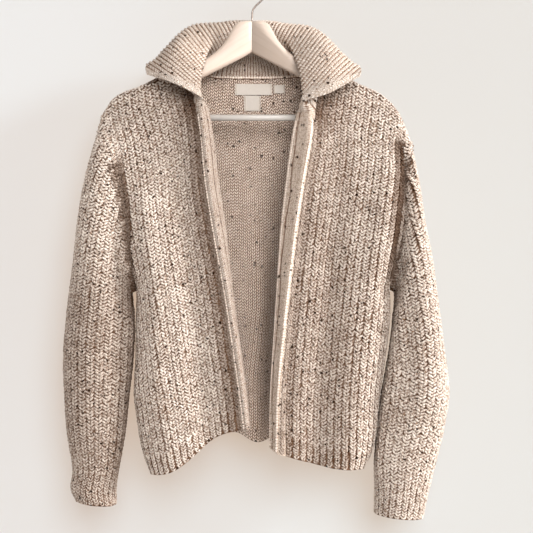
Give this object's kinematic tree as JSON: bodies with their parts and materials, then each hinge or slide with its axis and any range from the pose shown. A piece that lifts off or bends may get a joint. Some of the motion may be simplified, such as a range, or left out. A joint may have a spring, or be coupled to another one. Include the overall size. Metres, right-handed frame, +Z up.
{
  "type": "ribbed cardigan on a wooden hanger",
  "caption": "Chunky ribbed wool cardigan with a deep folded rib collar and plain front bands, hung open on a wooden hanger with a bar and a wire hook.",
  "frame": {"origin": "inner top of the hook, where the hanger rests on its rail", "axes": "+Z up, -Y out of the garment's front, +X towards the wearer's left"},
  "size_m": [0.589, 0.1327, 0.8344],
  "materials": {
    "oatmeal_wool": "chunky tweed knit in half-fisherman rib, dark flecks",
    "rib_wool": "the same yarn in fine rib and plain knit",
    "label_cloth": "woven satin, bare",
    "pale_wood": "satin lacquer",
    "white_coating": "smooth",
    "steel_wire": "bright wire"
  },
  "bodies": {
    "root": {"front_right": "oatmeal_wool", "front_left": "oatmeal_wool", "back": "oatmeal_wool", "sleeve_right": "oatmeal_wool", "sleeve_left": "oatmeal_wool", "collar": "rib_wool", "band_right": "rib_wool", "band_left": "rib_wool", "label_main": "label_cloth", "label_size": "label_cloth", "label_care": "label_cloth", "hanger_arm_right": "pale_wood", "hanger_arm_left": "pale_wood", "hanger_bar": "white_coating", "hanger_hook": "steel_wire"}
  },
  "joints": []
}
